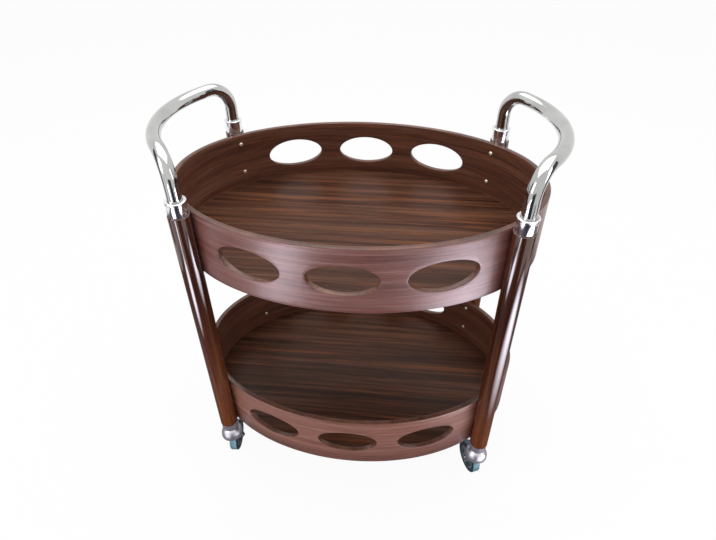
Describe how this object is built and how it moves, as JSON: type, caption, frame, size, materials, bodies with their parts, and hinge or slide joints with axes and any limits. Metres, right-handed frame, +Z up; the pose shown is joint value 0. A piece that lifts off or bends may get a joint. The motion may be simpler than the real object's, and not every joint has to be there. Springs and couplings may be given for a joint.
{
  "type": "bar cart",
  "caption": "Oval two-tier bar cart with bent wood trays, oval cut-outs, turned posts, chromed tube handles and swivelling casters.",
  "frame": {"origin": "on the floor, under the middle of the cart", "axes": "+X along the cart to the right-hand handle, +Y to the rear, +Z up"},
  "size_m": [0.728, 0.47, 0.8059],
  "materials": {
    "rim_veneer": "satin",
    "floor_veneer": "satin",
    "post_lacquer": "gloss",
    "chrome": "polished",
    "zinc_steel": "satin",
    "screw_steel": "polished",
    "wheel_rubber": "matte",
    "hub_plastic": "matte"
  },
  "bodies": {
    "cart_frame": {"upper_rim": "rim_veneer", "upper_floor_panel": "floor_veneer", "lower_rim": "rim_veneer", "lower_floor_panel": "floor_veneer", "left_handle": "chrome", "right_handle": "chrome", "handle_studs": "zinc_steel", "upper_tray_screws": "screw_steel", "lower_tray_screws": "screw_steel", "front_left_post": "post_lacquer", "front_left_ferrule": "chrome", "front_left_tube_plug": "zinc_steel", "front_left_post_collar": "chrome", "front_left_stem_socket": "zinc_steel", "front_right_post": "post_lacquer", "front_right_ferrule": "chrome", "front_right_tube_plug": "zinc_steel", "front_right_post_collar": "chrome", "front_right_stem_socket": "zinc_steel", "rear_left_post": "post_lacquer", "rear_left_ferrule": "chrome", "rear_left_tube_plug": "zinc_steel", "rear_left_post_collar": "chrome", "rear_left_stem_socket": "zinc_steel", "rear_right_post": "post_lacquer", "rear_right_ferrule": "chrome", "rear_right_tube_plug": "zinc_steel", "rear_right_post_collar": "chrome", "rear_right_stem_socket": "zinc_steel"},
    "front_left_caster": {"front_left_caster_stem": "zinc_steel", "front_left_grip_ring": "zinc_steel", "front_left_caster_hood": "chrome", "front_left_axle_bolt": "zinc_steel", "front_left_axle_nut": "zinc_steel"},
    "front_left_wheel": {"front_left_wheel_hub": "hub_plastic", "front_left_wheel_tyre": "wheel_rubber"},
    "front_right_caster": {"front_right_caster_stem": "zinc_steel", "front_right_grip_ring": "zinc_steel", "front_right_caster_hood": "chrome", "front_right_axle_bolt": "zinc_steel", "front_right_axle_nut": "zinc_steel"},
    "front_right_wheel": {"front_right_wheel_hub": "hub_plastic", "front_right_wheel_tyre": "wheel_rubber"},
    "rear_left_caster": {"rear_left_caster_stem": "zinc_steel", "rear_left_grip_ring": "zinc_steel", "rear_left_caster_hood": "chrome", "rear_left_axle_bolt": "zinc_steel", "rear_left_axle_nut": "zinc_steel"},
    "rear_left_wheel": {"rear_left_wheel_hub": "hub_plastic", "rear_left_wheel_tyre": "wheel_rubber"},
    "rear_right_caster": {"rear_right_caster_stem": "zinc_steel", "rear_right_grip_ring": "zinc_steel", "rear_right_caster_hood": "chrome", "rear_right_axle_bolt": "zinc_steel", "rear_right_axle_nut": "zinc_steel"},
    "rear_right_wheel": {"rear_right_wheel_hub": "hub_plastic", "rear_right_wheel_tyre": "wheel_rubber"}
  },
  "joints": [
    {"name": "front_left_swivel", "type": "hinge", "parent": "cart_frame", "child": "front_left_caster", "pos_m": [-0.28169, -0.16375, 0.078], "axis": [0, 0, 1], "continuous": true},
    {"name": "front_left_wheel_spin", "type": "hinge", "parent": "front_left_caster", "child": "front_left_wheel", "pos_m": [-0.28315, -0.1428, 0.035], "axis": [-0.9976, -0.0698, 0], "continuous": true},
    {"name": "front_right_swivel", "type": "hinge", "parent": "cart_frame", "child": "front_right_caster", "pos_m": [0.28169, -0.16375, 0.078], "axis": [0, 0, 1], "continuous": true},
    {"name": "front_right_wheel_spin", "type": "hinge", "parent": "front_right_caster", "child": "front_right_wheel", "pos_m": [0.27382, -0.14427, 0.035], "axis": [-0.9272, -0.3746, 0], "continuous": true},
    {"name": "rear_left_swivel", "type": "hinge", "parent": "cart_frame", "child": "rear_left_caster", "pos_m": [-0.28169, 0.16375, 0.078], "axis": [0, 0, 1], "continuous": true},
    {"name": "rear_left_wheel_spin", "type": "hinge", "parent": "rear_left_caster", "child": "rear_left_wheel", "pos_m": [-0.27661, 0.18412, 0.035], "axis": [-0.9703, 0.2419, 0], "continuous": true},
    {"name": "rear_right_swivel", "type": "hinge", "parent": "cart_frame", "child": "rear_right_caster", "pos_m": [0.28169, 0.16375, 0.078], "axis": [0, 0, 1], "continuous": true},
    {"name": "rear_right_wheel_spin", "type": "hinge", "parent": "rear_right_caster", "child": "rear_right_wheel", "pos_m": [0.27804, 0.18443, 0.035], "axis": [-0.9848, -0.1736, 0], "continuous": true}
  ]
}
